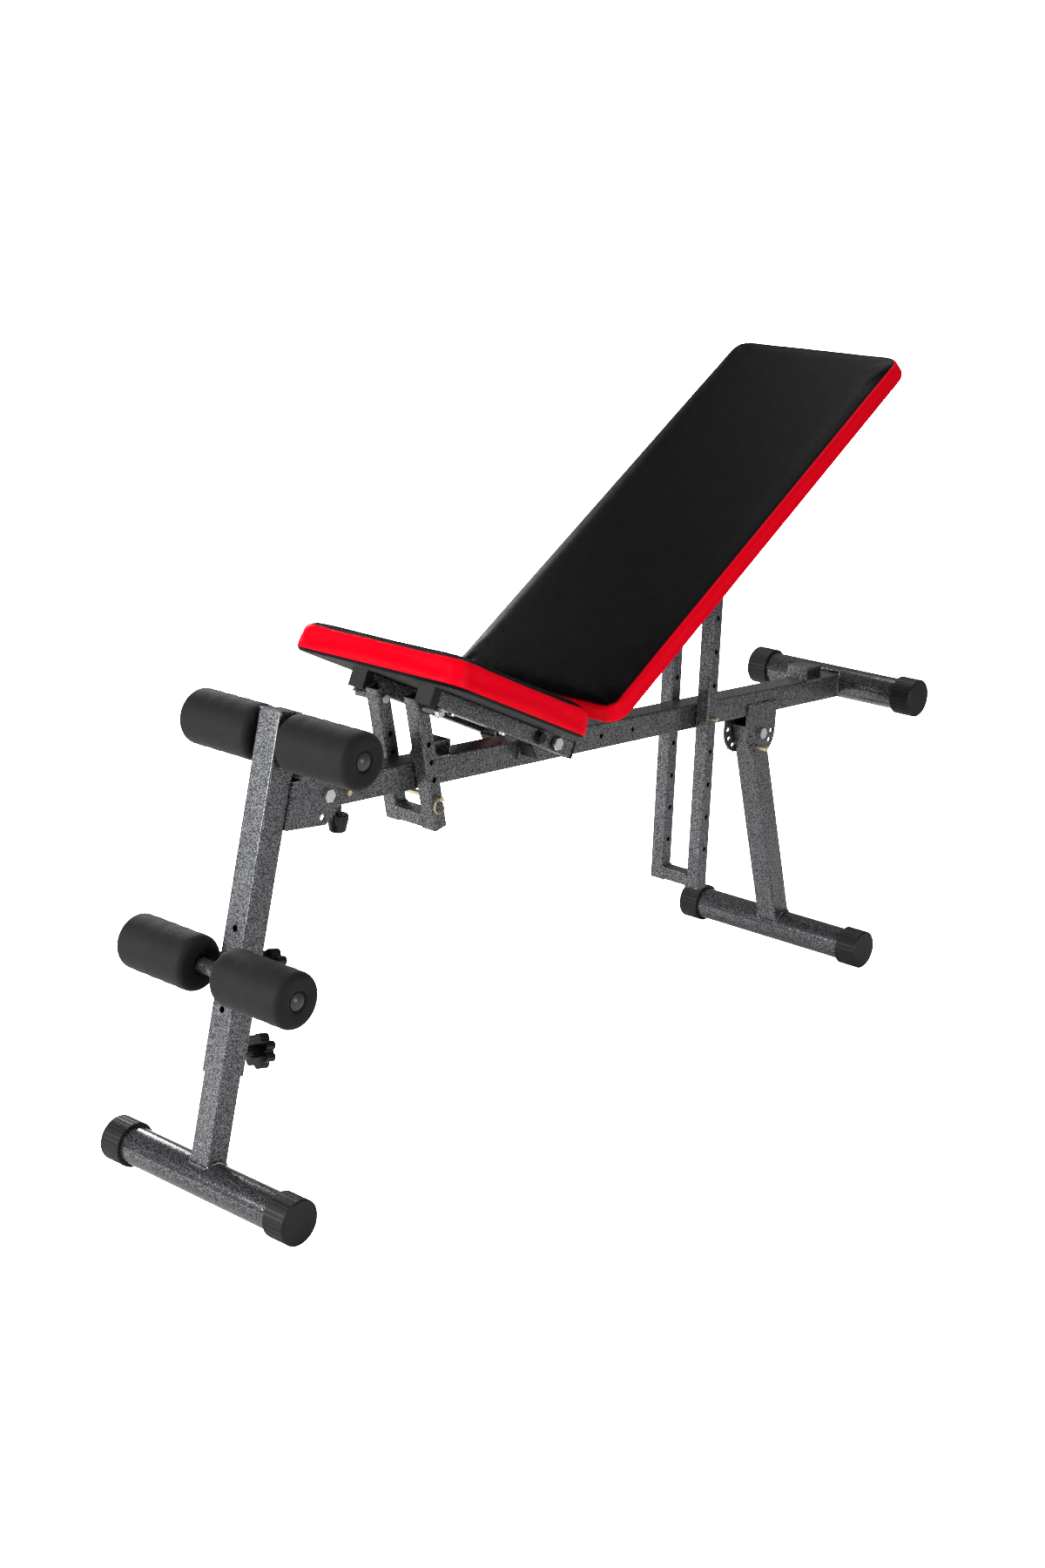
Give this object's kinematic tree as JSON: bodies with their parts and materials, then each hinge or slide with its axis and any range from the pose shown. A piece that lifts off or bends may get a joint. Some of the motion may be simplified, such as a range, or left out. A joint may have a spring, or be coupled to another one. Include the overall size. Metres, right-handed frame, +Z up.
{
  "type": "decline sit-up bench",
  "caption": "Folding incline and decline sit-up bench with foam leg rollers, a hinged padded seat and a ladder-set backrest on a square-tube frame.",
  "frame": {"origin": "on the floor at the middle of the bench's length and width", "axes": "+X towards the head end of the bench, +Y towards its right-hand side, +Z up"},
  "size_m": [1.712, 0.414, 1.1466],
  "materials": {
    "hammertone": "grey hammertone enamel",
    "black_plastic": "moulded matte black",
    "gloss_knob": "glossy black",
    "zinc": "bright zinc",
    "pin_steel": "yellow zinc",
    "foam": "matte closed-cell foam",
    "vinyl": "soft-gloss vinyl, black top with red sides",
    "board": "black-covered plywood"
  },
  "bodies": {
    "frame": {"main_beam": "hammertone", "rear_cross_tube": "hammertone", "rear_cross_caps": "black_plastic", "seat_rest": "hammertone", "back_stop": "hammertone", "axle_plates": "hammertone", "pivot_axle": "zinc", "axle_washers": "black_plastic", "frame_nuts": "zinc", "leg_plates": "hammertone", "leg_pivot_bolt": "zinc"},
    "clamp_knob_body": {"clamp_knob": "gloss_knob"},
    "post": {"post_tube": "hammertone", "post_cap": "hammertone", "front_bracket": "hammertone", "front_pivot_bolt": "zinc", "front_pivot_nut": "zinc", "height_boss": "hammertone", "upper_axle": "hammertone", "lower_axle": "hammertone", "carriage": "hammertone", "carriage_bolt": "zinc", "roller_plugs": "black_plastic", "front_lock_tip": "pin_steel"},
    "height_knob_body": {"height_knob": "gloss_knob"},
    "carriage_knob_body": {"carriage_knob": "gloss_knob"},
    "upper_roller_left_body": {"upper_roller_left": "foam"},
    "upper_roller_right_body": {"upper_roller_right": "foam"},
    "lower_roller_left_body": {"lower_roller_left": "foam"},
    "lower_roller_right_body": {"lower_roller_right": "foam"},
    "front_pin_body": {"front_lock_pin": "pin_steel"},
    "front_leg": {"inner_tube": "hammertone", "front_foot_tube": "hammertone", "front_foot_caps": "black_plastic"},
    "rear_leg": {"rear_leg_tube": "hammertone", "rear_foot_tube": "hammertone", "rear_foot_caps": "black_plastic"},
    "leg_pin_body": {"leg_lock_pin": "pin_steel"},
    "seat": {"seat_pad": "vinyl", "seat_board": "board", "seat_rails": "hammertone", "seat_rail_plugs": "black_plastic", "seat_sleeves": "hammertone", "seat_ladder_bolts": "zinc", "seat_screws": "zinc", "seat_bolt_washers": "black_plastic"},
    "seat_ladder": {"seat_uprights": "hammertone", "seat_rung": "hammertone"},
    "seat_pin_body": {"seat_lock_pin": "pin_steel"},
    "backrest": {"back_pad": "vinyl", "back_board": "board", "back_rails": "hammertone", "back_rail_plugs": "black_plastic", "back_ears": "hammertone", "back_ladder_bolts": "zinc", "back_screws": "zinc"},
    "back_ladder": {"back_uprights": "hammertone", "back_rung": "hammertone", "back_lock_tip": "pin_steel"},
    "back_pin_body": {"back_lock_pin": "pin_steel"}
  },
  "joints": [
    {"name": "backrest_tilt", "type": "hinge", "parent": "frame", "child": "backrest", "pos_m": [-0.13394, 0, 0.58514], "axis": [0, -1, 0], "range_deg": [-22, 28]},
    {"name": "back_ladder_swing", "type": "hinge", "parent": "backrest", "child": "back_ladder", "pos_m": [0.34607, 0, 0.84311], "axis": [0, -1, 0], "range_deg": [-4.8, 3.8]},
    {"name": "back_pin_pull", "type": "slide", "parent": "back_ladder", "child": "back_pin_body", "axis": [0, 1, 0], "range_m": [0, 0.1]},
    {"name": "seat_tilt", "type": "hinge", "parent": "frame", "child": "seat", "pos_m": [-0.13394, 0, 0.58514], "axis": [0, 1, 0], "range_deg": [-18, 0]},
    {"name": "seat_ladder_swing", "type": "hinge", "parent": "seat", "child": "seat_ladder", "pos_m": [-0.41197, 0, 0.69159], "axis": [0, 1, 0], "range_deg": [0, 18]},
    {"name": "seat_pin_pull", "type": "slide", "parent": "seat_ladder", "child": "seat_pin_body", "axis": [0, -1, 0], "range_m": [0, 0.12]},
    {"name": "post_fold", "type": "hinge", "parent": "frame", "child": "post", "pos_m": [-0.5893, 0, 0.58796], "axis": [0, -1, 0], "range_deg": [0, 78]},
    {"name": "front_pin_pull", "type": "slide", "parent": "post", "child": "front_pin_body", "axis": [0, 1, 0], "range_m": [0, 0.1]},
    {"name": "front_leg_slide", "type": "slide", "parent": "post", "child": "front_leg", "axis": [-0.2321, 0, -0.9727], "range_m": [-0.06, 0.04]},
    {"name": "height_knob_turn", "type": "hinge", "parent": "post", "child": "height_knob_body", "pos_m": [-0.72676, 0, 0.21065], "axis": [0.9727, 0, -0.2321], "continuous": true},
    {"name": "carriage_knob_turn", "type": "hinge", "parent": "post", "child": "carriage_knob_body", "pos_m": [-0.71083, 0, 0.34204], "axis": [0.9727, 0, -0.2321], "continuous": true},
    {"name": "clamp_knob_turn", "type": "hinge", "parent": "frame", "child": "clamp_knob_body", "pos_m": [-0.541, 0, 0.53456], "axis": [-0.0677, 0, -0.9977], "continuous": true},
    {"name": "rear_leg_fold", "type": "hinge", "parent": "frame", "child": "rear_leg", "pos_m": [0.53299, 0, 0.45371], "axis": [0, 1, 0], "range_deg": [0, 48]},
    {"name": "leg_pin_pull", "type": "slide", "parent": "frame", "child": "leg_pin_body", "axis": [0, 1, 0], "range_m": [0, 0.085]},
    {"name": "upper_left_roller_spin", "type": "hinge", "parent": "post", "child": "upper_roller_left_body", "pos_m": [-0.65967, 0, 0.68575], "axis": [0, -1, 0], "continuous": true},
    {"name": "upper_right_roller_spin", "type": "hinge", "parent": "post", "child": "upper_roller_right_body", "pos_m": [-0.65967, 0, 0.68575], "axis": [0, -1, 0], "continuous": true},
    {"name": "lower_left_roller_spin", "type": "hinge", "parent": "post", "child": "lower_roller_left_body", "pos_m": [-0.79274, 0, 0.36159], "axis": [0, -1, 0], "continuous": true},
    {"name": "lower_right_roller_spin", "type": "hinge", "parent": "post", "child": "lower_roller_right_body", "pos_m": [-0.79274, 0, 0.36159], "axis": [0, -1, 0], "continuous": true}
  ],
  "couplings": [
    {"joint": "back_ladder_swing", "follows": "backrest_tilt", "ratio": -0.17},
    {"joint": "seat_ladder_swing", "follows": "seat_tilt", "ratio": -1}
  ]
}
